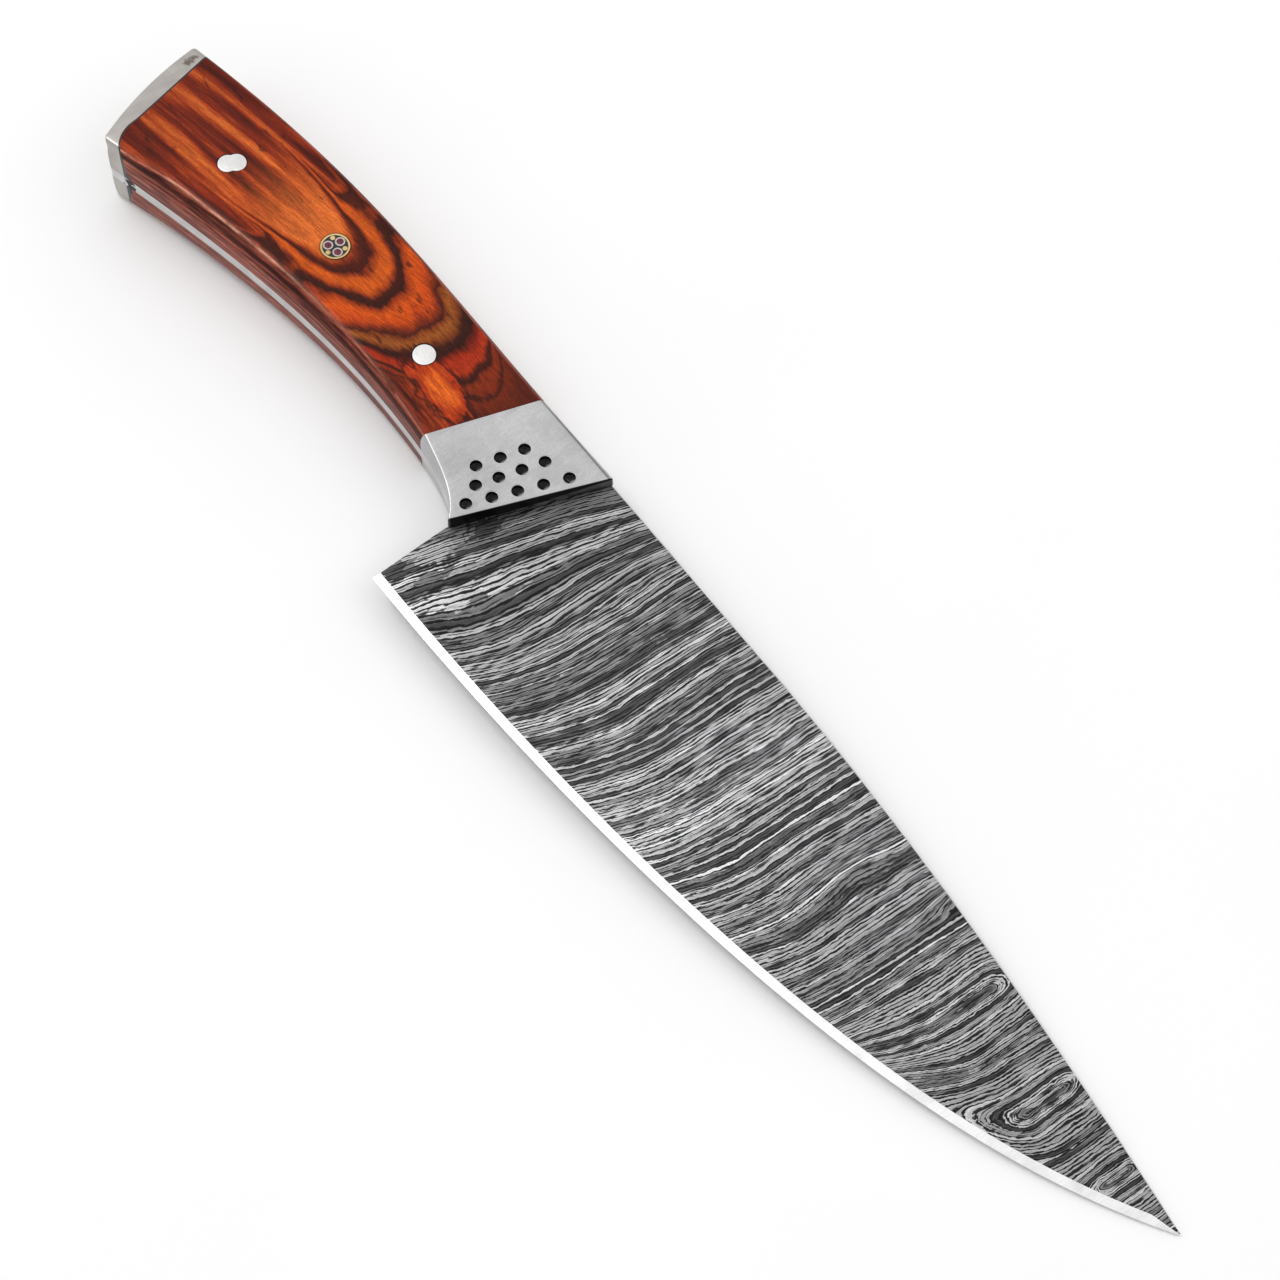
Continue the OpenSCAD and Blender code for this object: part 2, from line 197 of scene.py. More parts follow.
BOLSTER_RUN = (flat_half(-BOLSTER_LENGTH) - FRONT_HALF) / BOLSTER_LENGTH
JOINT_LOW = -BOLSTER_LENGTH - JOINT_DEPTH * JOINT_SLOPE
BOLSTER_RISE = (FRONT_HALF - BOLSTER_RUN * JOINT_LOW - flat_half(JOINT_LOW)) / JOINT_DEPTH


def bolster_height(x, y):
    """Half thickness of the bolsters, which thin towards their front."""
    return np.minimum(FRONT_HALF - BOLSTER_RUN * x + BOLSTER_RISE * y, flat_half(x))


# The lines that part the pieces of the handle, each as x for a given y


def front_line(y):
    return y * FRONT_SLOPE


def joint_line(y):
    return y * JOINT_SLOPE - BOLSTER_LENGTH


def cap_line(y, gap=0):
    """The inner line of the butt caps, which turns forward along the belly."""
    centre_x = CAP_TURN[0] + CAP_WIDTH + CAP_TURN_RADIUS
    radius = CAP_TURN_RADIUS - gap
    drop = np.clip(CAP_TURN[1] - y, 0, radius)
    turned = centre_x - np.sqrt(radius ** 2 - drop ** 2)
    return turned - CAP_LEAN * np.maximum(y - CAP_TURN[1], 0)


def wood_end_line(y):
    return cap_line(y, SEAM_WIDTH)


def butt_outline():
    """Points down the bowed butt and round its lower corner."""
    chord = BUTT_CORNER - BUTT_TOP
    outward = np.array([chord[1], -chord[0]]) / np.linalg.norm(chord)
    s = np.linspace(0, 1, 60)[:, None]
    line = BUTT_TOP + s * chord + 4 * s * (1 - s) * BUTT_BULGE * outward
    last = chord - 4 * BUTT_BULGE * outward
    start = math.atan2(-last[0], last[1]) + 2 * math.pi
    centre = BUTT_CORNER - CORNER_RADIUS * np.array([math.cos(start), math.sin(start)])
    turn = np.linspace(start, 1.5 * math.pi, 12)[1:, None]
    corner = centre + CORNER_RADIUS * np.hstack([np.cos(turn), np.sin(turn)])
    return np.vstack([line, corner])


BUTT_OUTLINE = butt_outline()


def butt_line(y):
    rising = BUTT_OUTLINE[::-1]
    return np.interp(y, rising[:, 1], rising[:, 0])


# --- Meshes ---------------------------------------------------------------------------


def new_mesh(name, points, faces, materials, face_material=None, sharp=32):
    """A closed object from points in knife millimetres, smooth but for its sharp edges."""
    mesh = bpy.data.meshes.new(name)
    mesh.from_pydata(to_row(points).tolist(), [], [list(map(int, f)) for f in faces])
    for material in materials:
        mesh.materials.append(material)
    if face_material is not None:
        mesh.polygons.foreach_set("material_index", face_material)
    mesh.validate()
    piece = bpy.data.objects.new(name, mesh)
    bpy.context.scene.collection.objects.link(piece)
    weld(piece)
    finish_surface(piece, sharp)
    return piece


def weld(piece):
    """Joins points that fall together, and turns every face outwards."""
    bm = bmesh.new()
    bm.from_mesh(piece.data)
    bmesh.ops.remove_doubles(bm, verts=bm.verts, dist=2e-6)
    bmesh.ops.dissolve_degenerate(bm, edges=bm.edges, dist=1e-7)
    bmesh.ops.recalc_face_normals(bm, faces=bm.faces)
    bm.to_mesh(piece.data)
    bm.free()


def finish_surface(piece, sharp):
    piece.data.polygons.foreach_set("use_smooth", [True] * len(piece.data.polygons))
    piece.data.set_sharp_from_angle(angle=math.radians(sharp))


def cut(piece, cutter, sharp=32):
    """Takes the cutter's shape out of the piece."""
    tool = piece.modifiers.new("cut", "BOOLEAN")
    tool.operation = "DIFFERENCE"
    tool.solver = "EXACT"
    tool.material_mode = "TRANSFER"
    tool.object = cutter
    graph = bpy.context.evaluated_depsgraph_get()
    result = bpy.data.meshes.new_from_object(piece.evaluated_get(graph))
    piece.modifiers.clear()
    piece.data = result
    bpy.data.objects.remove(cutter)
    finish_surface(piece, sharp)


def keep(piece, slot, *nodes):
    """Puts a finished piece in the place of CAD nodes."""
    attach(piece, "root")
    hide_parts(*nodes)


def grid_faces(rows, columns, first=0, flip=False):
    faces = []
    for i in range(rows - 1):
        for j in range(columns - 1):
            a = first + i * columns + j
            quad = [a, a + 1, a + columns + 1, a + columns]
            faces.append(quad[::-1] if flip else quad)
    return faces


def loft(rings):
    """Points and faces of one closed solid through rings of equal length."""
    count = len(rings[0])
    points = [p for ring in rings for p in ring]
    faces = []
    for i in range(len(rings) - 1):
        for j in range(count):
            k = (j + 1) % count
            faces.append([i * count + j, i * count + k, (i + 1) * count + k, (i + 1) * count + j])
    faces.append(list(range(count)))
    faces.append([(len(rings) - 1) * count + j for j in range(count)])
    return points, faces


# --- One half of the handle: bolster, scale, seam or cap ------------------------------

# Radii of the edges along the flats, of the front of the bolsters and of the butt
BOLSTER_ROUND = 0.5
HANDLE_ROUND = 0.7
FRONT_ROUND = 0.25
BUTT_ROUND = 0.4

# The lines of a half's skin, from the tang on the belly, over the flat, to the tang on the
# spine side. Each is a zone and how far it lies through it.
ZONES = [("belly", 14), ("belly_corner", 6), ("flat", 22), ("top_corner", 6), ("top", 12)]
LINES = [(zone, i / count) for zone, count in ZONES for i in range(count)] + [("top", 1)]


# Places past both ends of the handle, and how often the stretch between them is halved to
# find a crossing
HANDLE_REACH = (-150.0, 5.0)
HALVINGS = 40


def bend(start, corner, end, t):
    return (1 - t) ** 2 * start + 2 * t * (1 - t) * corner + t ** 2 * end


def skin(x, zone, t, height, radius):
    """y and z of the half's skin at x, on one of its lines."""
    if zone.startswith("belly"):
        z_edge = height(x, belly_y(x, flat_half(x)))
        side, inward = belly_y, 1
    else:
        z_edge = height(x, top_y(x, flat_half(x)))
        side, inward = top_y, -1
    y_edge = side(x, z_edge)
    if zone == "flat":
        z_belly = height(x, belly_y(x, flat_half(x)))
        y_from = belly_y(x, z_belly) + radius
        y = y_from + t * (y_edge - radius - y_from)
        return y, height(x, y)
    if zone.endswith("corner"):
        t_in = t if inward > 0 else 1 - t
        y_in = y_edge + inward * radius
        y = bend(side(x, z_edge - radius), y_edge, y_in, t_in)
        z = bend(z_edge - radius, z_edge, height(x, y_in), t_in)
        return y, z
    up = t if inward > 0 else 1 - t
    z = SPINE_HALF + up * (z_edge - radius - SPINE_HALF)
    return side(x, z), z


def meets(line, zone, t, height, radius):
    """x where one line of the skin crosses a parting line."""
    low, high = HANDLE_REACH
    for _ in range(HALVINGS):
        x = (low + high) / 2
        y, _z = skin(x, zone, t, height, radius)
        if x < line(y):
            low = x
        else:
            high = x
    return (low + high) / 2


def round_steps(radius, count=5):
    """Distances from an end, and how far the skin is drawn in there, for a rounded edge."""
    if radius == 0:
        return [(0.0, 0.0)]
    angles = [math.pi / 2 * i / count for i in range(count)]
    return [(radius * (1 - math.cos(a)), radius * (1 - math.sin(a))) for a in angles]


def half_piece(name, side, ends, height, materials, count, radius, rounds=(0, 0)):
    """One closed piece of a handle half between two parting lines, front first."""
    rows = []
    fronts = [meets(ends[0], zone, t, height, radius) for zone, t in LINES]
    backs = [meets(ends[1], zone, t, height, radius) for zone, t in LINES]
    steps = [("front", d, pull) for d, pull in round_steps(rounds[0])]
    inner = range(0 if rounds[0] else 1, count + (1 if rounds[1] else 0))
    steps += [("between", i / count, 0) for i in inner]
    steps += [("back", d, pull) for d, pull in reversed(round_steps(rounds[1]))]
    for kind, place, pull in steps:
        row = []
        for (zone, t), x_front, x_back in zip(LINES, fronts, backs):
            if kind == "front":
                x = x_front - place
            elif kind == "back":
                x = x_back + place
            else:
                near, far = x_front - rounds[0], x_back + rounds[1]
                x = near + place * (far - near)
            row.append((x, *skin(x, zone, t, height, radius)))
        rows.append(drawn_in(np.array(row), pull))
    skin_rows = np.array(rows)
    core_rows = skin_rows.copy()
    core_rows[..., 2] = SPINE_HALF
    skin_rows[..., 2] *= side
    core_rows[..., 2] *= side
    return shell(name, skin_rows, core_rows, materials)


def drawn_in(row, pull):
    """Moves a row of skin points inwards, but keeps both of its ends on the tang."""
    if pull == 0:
        return row
    along = np.gradient(row[:, 1:], axis=0)
    along /= np.linalg.norm(along, axis=1)[:, None]
    moved = row.copy()
    moved[:, 1] += along[:, 1] * pull
    moved[:, 2] -= along[:, 0] * pull
    moved[:, 2] = np.maximum(moved[:, 2], SPINE_HALF)
    return moved


def shell(name, outer, inner, materials):
    """Closes an outer and an inner grid of points into one solid."""
    rows, columns = outer.shape[:2]
    points = np.vstack([outer.reshape(-1, 3), inner.reshape(-1, 3)])
    first = rows * columns
    faces = grid_faces(rows, columns) + grid_faces(rows, columns, first, flip=True)
    for i in (0, rows - 1):
        for j in range(columns - 1):
            a = i * columns + j
            faces.append([a, a + 1, first + a + 1, first + a])
    return new_mesh(name, points, faces, materials)


# --- Blade and tang -------------------------------------------------------------------


def blade_top(x):
    fall = np.clip((x - STRAIGHT_SPINE) / (TIP_X - STRAIGHT_SPINE), 0, None)
    return -TIP_DROP * fall ** SPINE_FALL_POWER


def half_spine(x):
    return SPINE_HALF + (TIP_HALF - SPINE_HALF) * (max(0, x) / TIP_X) ** DISTAL_POWER


def edge_y(u):
    rise = SQUARE_SHARE * u ** 2 + (1 - SQUARE_SHARE) * u ** 6
    return -HEEL_DEPTH + (HEEL_DEPTH - TIP_DROP) * rise


def edge_slope(u):
    share = 2 * SQUARE_SHARE * u + 6 * (1 - SQUARE_SHARE) * u ** 5
    return (HEEL_DEPTH - TIP_DROP) / BLADE_LENGTH * share


SPINE_ROUND = 0.36
# How far the spine is sunk between the bolsters, and over what length it sinks
SPINE_SINK = 0.3
SINK_RUN = 1.5
BLADE_SIDE_POINTS = 30
BEVEL_POINTS = 3
BLEND = 0.06


def blade_side(u):
    """y and z down the right side of the blade at one station, from spine to edge."""
    x = HEEL_X + u * BLADE_LENGTH
    top, edge = float(blade_top(x)), edge_y(u)
    if x < 0:
        top = float(handle_top(x)) - SPINE_SINK * min(1, -x / SINK_RUN)
    depth = top - edge
    bevel = min(BEVEL_WIDTH * math.hypot(1, edge_slope(u)), BEVEL_SHARE * depth)
    thick = half_spine(x)
    thin = min(SHOULDER_HALF, SHOULDER_SHARE * thick)
    full = RICASSO_DEPTH * (1 - float(ease((x - HEEL_X) / (RICASSO_END - HEEL_X))))
    full_y = top - max(min(full, FULL_SHARES[1] * depth), FULL_SHARES[0] * depth)
    shoulder_y = edge + bevel
    corner = min(SPINE_ROUND, 0.4 * thick, 0.1 * depth)
    side = [(top, thick - corner), (top - 0.3 * corner, thick - 0.3 * corner)]
    for y in np.linspace(top - corner, shoulder_y, BLADE_SIDE_POINTS):
        ramp = thin + (thick - thin) * (y - shoulder_y) / (full_y - shoulder_y)
        lower = BLEND * math.exp((min(thick, ramp) - max(thick, ramp)) / BLEND)
        side.append((y, max(thin, min(thick, ramp) - 0.7 * lower)))
    side[-1] = (shoulder_y, thin)
    for i in range(1, BEVEL_POINTS + 1):
        t = i / BEVEL_POINTS
        side.append((shoulder_y + t * (edge - shoulder_y), thin + t * (EDGE_HALF - thin)))
    return x, side


def blade_faces_of(count):
    """Which material each face of one blade ring takes: flats 0, spine 1, bevel 2."""
    kinds = []
    last = count // 2 - 1
    for j in range(count):
        from_spine = min(j, count - 2 - j) if j < count - 1 else -1
        if from_spine < 2:
            kinds.append(1)
        elif last - from_spine <= BEVEL_POINTS:
            kinds.append(2)
        else:
            kinds.append(0)
    return kinds


def tang_outline():
    """Round the tang and butt, flush with the handle."""
    top = [(x, float(handle_top(x))) for x in np.linspace(-0.4, BUTT_TOP[0] + 0.5, 90)]
    butt = [tuple(p) for p in BUTT_OUTLINE[2:]]
    start = BUTT_OUTLINE[-1][0] + 0.4
    belly = [(x, float(handle_belly(x))) for x in np.linspace(start, HEEL_X + 0.2, 90)]
    return top + butt + belly


def tang_rings(outline):
    """The tang's plate, its edges broken a little so that a fine line parts it from the scales."""
    centre = np.mean(outline, axis=0)
    edge = 0.05
    inner = SPINE_HALF - edge
    rings = []
    for z, inset in ((-SPINE_HALF, edge), (-inner, 0), (inner, 0), (SPINE_HALF, edge)):
        ring = []
        for x, y in outline:
            away = Vector((x - centre[0], y - centre[1])).normalized()
            ring.append((x, y - math.copysign(inset, away.y), z))
        rings.append(ring)
    return rings


def make_blade(materials, stations=170):
    """Blade and tang in one object. Materials are flats, spine, bevel and tang."""
    rings = []
    for i in range(stations + 1):
        u = LAST_STATION * (1 - (1 - i / stations) ** STATION_POWER)
        x, right = blade_side(u)
        left = [(y, -z) for y, z in reversed(right)]
        rings.append([(x, y, z) for y, z in right + left])
    points, faces = loft(rings)
    kinds = blade_faces_of(len(rings[0])) * stations + [0, 2]
    tang_points, tang_faces = loft(tang_rings(tang_outline()))
    first = len(points)
    faces += [[first + i for i in face] for face in tang_faces]
    kinds += [3] * len(tang_faces)
    return new_mesh("blade_and_tang", points + tang_points, faces, materials, kinds, sharp=12)


# --- Pins -----------------------------------------------------------------------------


def round_outline(radius, count=72):
    angles = [2 * math.pi * i / count for i in range(count)]
    return [(radius * math.cos(a), radius * math.sin(a)) for a in angles]


def double_outline(radius, spacing, turn, count=96):
    """Outline of two rounds run together: the farther of the two along each ray."""
    outline = []
    half = Vector((math.cos(turn), math.sin(turn))) * spacing / 2
    for i in range(count):
        a = 2 * math.pi * i / count
        ray = Vector((math.cos(a), math.sin(a)))
        across = abs(half.dot(ray))
        reach = across + math.sqrt(radius ** 2 - half.length_squared + across ** 2)
        outline.append(tuple(ray * reach))
    return outline


PIN_PROUD = 0.02


def pin_solid(centre, outline, grow=0.0, rim=((0.3, 0), (0.1, 0.02), (0, 0.1)), reach=None):
    """A pin that runs through the handle and ends just proud of both flats."""
    size = max(math.hypot(*p) for p in outline)
    right, left = [], []
    for inset, depth in rim:
        scale = (size + grow - inset) / size
        ring = [(centre[0] + x * scale, centre[1] + y * scale) for x, y in outline]
        ends = [reach or flat_half(x) + PIN_PROUD - depth for x, y in ring]
        right.append([(x, y, z) for (x, y), z in zip(ring, ends)])
        left.append([(x, y, -z) for (x, y), z in zip(ring, ends)])
    return loft(left + right[::-1])


def add_up(solids):
    """Several solids' points and faces as one."""
    points, faces = [], []
    for more_points, more_faces in solids:
        first = len(points)
        points += more_points
        faces += [[first + i for i in face] for face in more_faces]
    return points, faces


def pin_holes(glue):
    """Cutter for the holes of all three pins, a little wider than the pins for their glue."""
    reach = 25
    straight = ((0, 0), (0, 0))
    solids = [pin_solid(centre, outline, gap, straight, reach) for centre, outline, gap in (
        (FRONT_PIN, round_outline(FRONT_PIN_RADIUS), FRONT_GLUE),
        (REAR_PIN, REAR_OUTLINE, REAR_GLUE),
        (MOSAIC_PIN, round_outline(MOSAIC_RADIUS), MOSAIC_GLUE))]
    points, faces = add_up(solids)
    return new_mesh("pin_holes", points, faces, [glue])


REAR_OUTLINE = double_outline(REAR_PIN_RADIUS, REAR_PIN_SPACING, REAR_PIN_TURN)


# --- Dimples --------------------------------------------------------------------------


def dimple_centres():
    along = np.array([-FRONT_SLOPE, -1]) / math.hypot(1, FRONT_SLOPE)
    behind = np.array([-1, FRONT_SLOPE]) / math.hypot(1, FRONT_SLOPE)
    for count, first, pitch, distance, creep in DIMPLE_ROWS:
        for i in range(count):
            yield along * (first + i * pitch) + behind * (distance + i * creep)


def dimple_cutter(side, inside):
    """One drill point for every dimple, with a fine countersink at the mouth."""
    rim = 0.1
    point, cone = DIMPLE_DEPTH + 0.4, DIMPLE_DEPTH - 0.3
    profile = [(-point, 0.02), (-cone, DIMPLE_RADIUS), (-rim, DIMPLE_RADIUS),
               (0, DIMPLE_RADIUS + rim), (1, DIMPLE_RADIUS + rim)]
    solids = []
    for x, y in dimple_centres():
        face = float(bolster_height(x, y))
        rings = [[(x + a, y + b, side * (face + height)) for a, b in round_outline(radius, 40)]
                 for height, radius in profile]
        solids.append(loft(rings))
    points, faces = add_up(solids)
    return new_mesh("dimple_cutter", points, faces, [inside])


# --- Node helpers ---------------------------------------------------------------------


def tone(red, green, blue):
    """A colour given as 0 to 255, as light."""
    light = []
    for value in (red, green, blue):
        share = value / 255
        light.append(share / 12.92 if share <= 0.04045 else ((share + 0.055) / 1.055) ** 2.4)
    return (*light, 1)


def grey(value):
    return tone(value, value, value + 1)


class Paint:
    """One material and short ways to add its nodes. Sockets take a number or another socket."""

    def __init__(self, name, metallic=0.0, roughness=0.4, coat=0.0, coat_roughness=0.1):
        self.material = bpy.data.materials.new(name)
        self.material.use_nodes = True
        self.tree = self.material.node_tree
        self.shader = self.tree.nodes["Principled BSDF"]
        self.shader.inputs["Metallic"].default_value = metallic
        self.shader.inputs["Roughness"].default_value = roughness
        self.shader.inputs["Coat Weight"].default_value = coat
        self.shader.inputs["Coat Roughness"].default_value = coat_roughness
        self.place = self.knife_place()
        split = self.add("ShaderNodeSeparateXYZ", {"Vector": self.place})
        self.x, self.y, self.z = split.outputs

    def add(self, kind, inputs=None, **settings):
        node = self.tree.nodes.new(kind)
        for name, value in settings.items():
            setattr(node, name, value)
        for name, value in (inputs or {}).items():
            self.put(node.inputs[name], value)
        return node

    def put(self, socket, value):
        if isinstance(value, bpy.types.NodeSocket):
            self.tree.links.new(value, socket)
        else:
            socket.default_value = value

    def knife_place(self):
        """Object coordinates turned back into the knife's own frame, in millimetres."""
        coordinates = self.add("ShaderNodeTexCoord").outputs["Object"]
        back = LIE.transposed()
        return self.add("ShaderNodeMapping", {
            "Vector": coordinates,
            "Scale": (1000, 1000, 1000),
            "Rotation": (0, -LIE_ANGLE, 0),
            "Location": -(back @ ORIGIN)}).outputs["Vector"]

    def math(self, operation, a, b=0.0, c=0.0, clamp=False):
        node = self.add("ShaderNodeMath", operation=operation, use_clamp=clamp)
        for socket, value in zip(node.inputs, (a, b, c)):
            self.put(socket, value)
        return node.outputs[0]

    def plus(self, a, b):
        return self.math("ADD", a, b)

    def times(self, a, b):
        return self.math("MULTIPLY", a, b)

    def weighted(self, a, weight, b):
        """a * weight + b"""
        return self.math("MULTIPLY_ADD", a, weight, b)

    def vector(self, x, y, z=0.0):
        return self.add("ShaderNodeCombineXYZ", {"X": x, "Y": y, "Z": z}).outputs[0]

    def noise(self, place, scale=1.0, detail=2.0, roughness=0.5):
        return self.add("ShaderNodeTexNoise", {
            "Vector": place, "Scale": scale, "Detail": detail, "Roughness": roughness}).outputs["Fac"]

    def layers(self, where, scale):
        """Bands along a line, each with a number of its own from 0 to 1."""
        cells = self.add("ShaderNodeTexVoronoi", {"W": where, "Scale": scale}, voronoi_dimensions="1D")
        return self.add("ShaderNodeSeparateColor", {"Color": cells.outputs["Color"]}).outputs[0]

    def to_border(self, where, scale):
        """How far it is along the line to the nearest border of those bands."""
        cells = self.add("ShaderNodeTexVoronoi", {"W": where, "Scale": scale}, voronoi_dimensions="1D",
                         feature="DISTANCE_TO_EDGE")
        return self.times(cells.outputs["Distance"], 1 / scale)

    def streaks(self, step_x, step_y, step_z, detail=2.0, across=None):
        """Noise drawn out by a different amount along each axis of the knife."""
        y = self.y if across is None else across
        place = self.vector(self.times(self.x, 1 / step_x), self.times(y, 1 / step_y),
                            self.times(self.z, 1 / step_z))
        return self.noise(place, 1.0, detail)

    def between(self, value, start, end, low=0.0, high=1.0):
        """low up to start, high from end, eased in between."""
        return self.add("ShaderNodeMapRange", {
            "Value": value, "From Min": start, "From Max": end, "To Min": low, "To Max": high},
            interpolation_type="SMOOTHSTEP").outputs["Result"]

    def between_straight(self, value, start, end, low, high):
        """Like between, but straight."""
        spread = self.add("ShaderNodeMapRange", {
            "Value": value, "From Min": start, "From Max": end, "To Min": low, "To Max": high})
        return spread.outputs["Result"]

    def ramp(self, value, stops):
        node = self.add("ShaderNodeValToRGB", {"Fac": value})
        ramp = node.color_ramp
        ramp.elements[0].position, ramp.elements[0].color = stops[0]
        ramp.elements[1].position, ramp.elements[1].color = stops[-1]
        for position, colour in stops[1:-1]:
            ramp.elements.new(position).color = colour
        return node.outputs["Color"]

    def mix(self, share, a, b, blend="MIX"):
        node = self.add("ShaderNodeMix", data_type="RGBA", blend_type=blend)
        self.put(node.inputs["Factor"], share)
        self.put(node.inputs[6], a)
        self.put(node.inputs[7], b)
        return node.outputs[2]

    def mix_number(self, share, a, b):
        node = self.add("ShaderNodeMix", {"Factor": share}, data_type="FLOAT")
        self.put(node.inputs[2], a)
        self.put(node.inputs[3], b)
        return node.outputs[0]

    def shade(self, colour, amount):
        """The colour times a number."""
        return self.mix(1.0, colour, self.vector(amount, amount, amount), "MULTIPLY")

    def hill(self, distance_x, distance_y, width_x, width_y):
        """One at the middle, fading out like a bell over an oval."""
        across = self.times(distance_x, 1 / width_x)
        down = self.times(distance_y, 1 / width_y)
        far = self.plus(self.times(across, across), self.times(down, down))
        return self.math("EXPONENT", self.times(far, -1.0))

    def bell(self, value, middle, width):
        """One where the value is at the middle, fading out like a bell on both sides."""
        off = self.times(self.plus(value, -middle), 1 / width)
        return self.math("EXPONENT", self.times(self.times(off, off), -1.0))

    def hill_at(self, x, y, width_x, width_y):
        return self.hill(self.plus(self.x, -x), self.plus(self.y, -y), width_x, width_y)

    def colour(self, value):
        self.put(self.shader.inputs["Base Color"], value)

    def colour_so_far(self):
        return self.shader.inputs["Base Color"].links[0].from_socket

    def roughness(self, value, low, high):
        spread = self.add("ShaderNodeMapRange", {"Value": value, "To Min": low, "To Max": high})
        self.put(self.shader.inputs["Roughness"], spread.outputs["Result"])

    def bump(self, height, depth):
        """Relief with this many millimetres between a height of 0 and of 1."""
        node = self.add("ShaderNodeBump", {"Height": height, "Distance": depth / 1000, "Strength": 1.0})
        self.put(self.shader.inputs["Normal"], node.outputs["Normal"])


# --- Materials ------------------------------------------------------------------------


def layered_steel():
    """Etched pattern-welded steel: layers that run from the spine to the edge."""
    p = Paint("layered_steel", metallic=1.0, roughness=0.42)
    layer = layer_place(p)
    drawn = p.vector(p.times(layer, 0.9), p.times(p.y, 0.12), p.times(p.z, 0.02))
    broken = p.plus(p.noise(drawn, 1.0, 2.0), -0.5)
    height = p.weighted(broken, 0.6, p.layers(layer, LAYERS_PER_MM))
    height = dark_layers(p, layer, height)
    colour = p.ramp(height, LAYER_TONES)
    fades = p.times(p.plus(p.streaks(0.9, 5.0, 40.0, 2.0), -0.5), 0.4)
    wide_gap = p.plus(p.to_border(layer, LAYERS_PER_MM), fades)
    fine_gap = p.weighted(fades, 1.2, p.plus(p.to_border(layer, FINE_LAYERS_PER_MM), 0.04))
    colour = p.mix(p.bell(wide_gap, 0.25, 0.06), colour, p.shade(colour, 1.35))
    colour = p.mix(p.between(fine_gap, 0.08, 0.12, 0.94, 0.0), colour, grey(48))
    colour = p.mix(p.between(wide_gap, 0.1, 0.15, 0.97, 0.0), colour, grey(38))
    wash = p.streaks(12.0, 9.0, 40.0, 3.0)
    colour = p.shade(colour, p.between(wash, 0.3, 0.7, 0.94, 1.06))
    colour = p.shade(colour, p.between_straight(p.bell(p.x, 75.0, 50.0), 0.0, 1.0, 0.84, 1.16))
    colour = p.shade(colour, p.between(p.x, -10.0, 30.0, 0.88, 1.0))
    speck = p.noise(p.place, 3.2, 2.0)
    p.colour(p.shade(colour, p.between(speck, 0.3, 0.7, 0.9, 1.1)))
    p.roughness(height, 0.5, 0.34)
    p.bump(p.weighted(speck, 0.15, height), 0.03)
    return p.material


def layer_place(p):
    """Millimetres through the layers: they lean, sweep back to the edge and wrap round eyes."""
    down = p.times(p.y, -1.0)
    sweep = p.math("MAXIMUM", p.plus(down, -27.0), 0.0)
    past_heel = p.between(p.weighted(down, 0.28, p.x), 2.0, 30.0)
    along = p.weighted(down, 0.035, p.x)
    along = p.weighted(p.times(p.times(sweep, sweep), past_heel), 0.011, along)
    along = p.weighted(p.times(down, p.weighted(past_heel, -1.0, 1.0)), 0.28, along)
    low = p.math("MAXIMUM", p.plus(down, -18.0), 0.0)
    near_tip = p.between(p.x, 118.0, 150.0)
    along = p.weighted(p.times(p.times(low, low), near_tip), 0.045, along)
    for x, y, width_x, width_y, rise in ARCHES:
        along = p.weighted(p.hill_at(x, y, width_x, width_y), rise, along)
    along = p.weighted(p.streaks(14.0, 26.0, 40.0, 1.0), 2.0, along)
    layer = eye_round(p, along, *EYES[0])
    for eye in EYES[1:]:
        layer = p.math("MINIMUM", layer, eye_round(p, along, *eye))
    layer = p.weighted(p.streaks(2.4, 6.0, 40.0, 2.0), 0.8, layer)
    ragged = p.times(p.streaks(0.7, 1.4, 40.0, 2.0), p.between(p.x, 10.0, 90.0, 0.2, 0.55))
    return p.plus(ragged, layer)


def eye_round(p, along, x, y, half_length):
    """Distance to a long eye in the layers, less past its ends than to its sides."""
    aside = p.plus(along, -x)
    past = p.math("MAXIMUM", p.plus(p.math("ABSOLUTE", p.plus(p.y, -y)), -half_length), 0.0)
    past = p.times(past, 0.5)
    return p.math("SQRT", p.plus(p.times(aside, aside), p.times(past, past)))


def dark_layers(p, layer, height):
    """A thick dark layer every so often, painted shade in a ragged band along the bolster's front, and
    broken patches at the bolster and the heel.
    """
    ragged = p.plus(p.streaks(2.2, 8.0, 40.0, 3.0), -0.5)
    band = p.weighted(ragged, 4.5, p.math("PINGPONG", p.plus(layer, BAND_START), BAND_PITCH / 2))
    height = p.mix_number(p.between(band, 0.7, 0.9, 0.9, 0.0), height, DARK_LAYER)
    # painted shade: a ragged dark band on the blade just ahead of the bolster's front face
    behind = p.weighted(ragged, -4.0, p.weighted(p.y, -FRONT_SLOPE, p.x))
    height = p.mix_number(p.between(behind, 3.2, 3.6, 0.8, 0.0), height, DARK_LAYER + 0.1)
    broken = p.times(p.plus(p.streaks(1.6, 2.6, 40.0, 3.0), -0.5), 1.6)
    for x, y, width_x, width_y, level in PATCHES:
        patch = p.between(p.plus(p.hill_at(x, y, width_x, width_y), broken), 0.5, 0.6, 0.0, 0.9)
        height = p.mix_number(patch, height, level)
    return height


LAYERS_PER_MM = 1.25
FINE_LAYERS_PER_MM = 1.75
BAND_PITCH = 17.8
BAND_START = 5.0
DARK_LAYER = 0.12

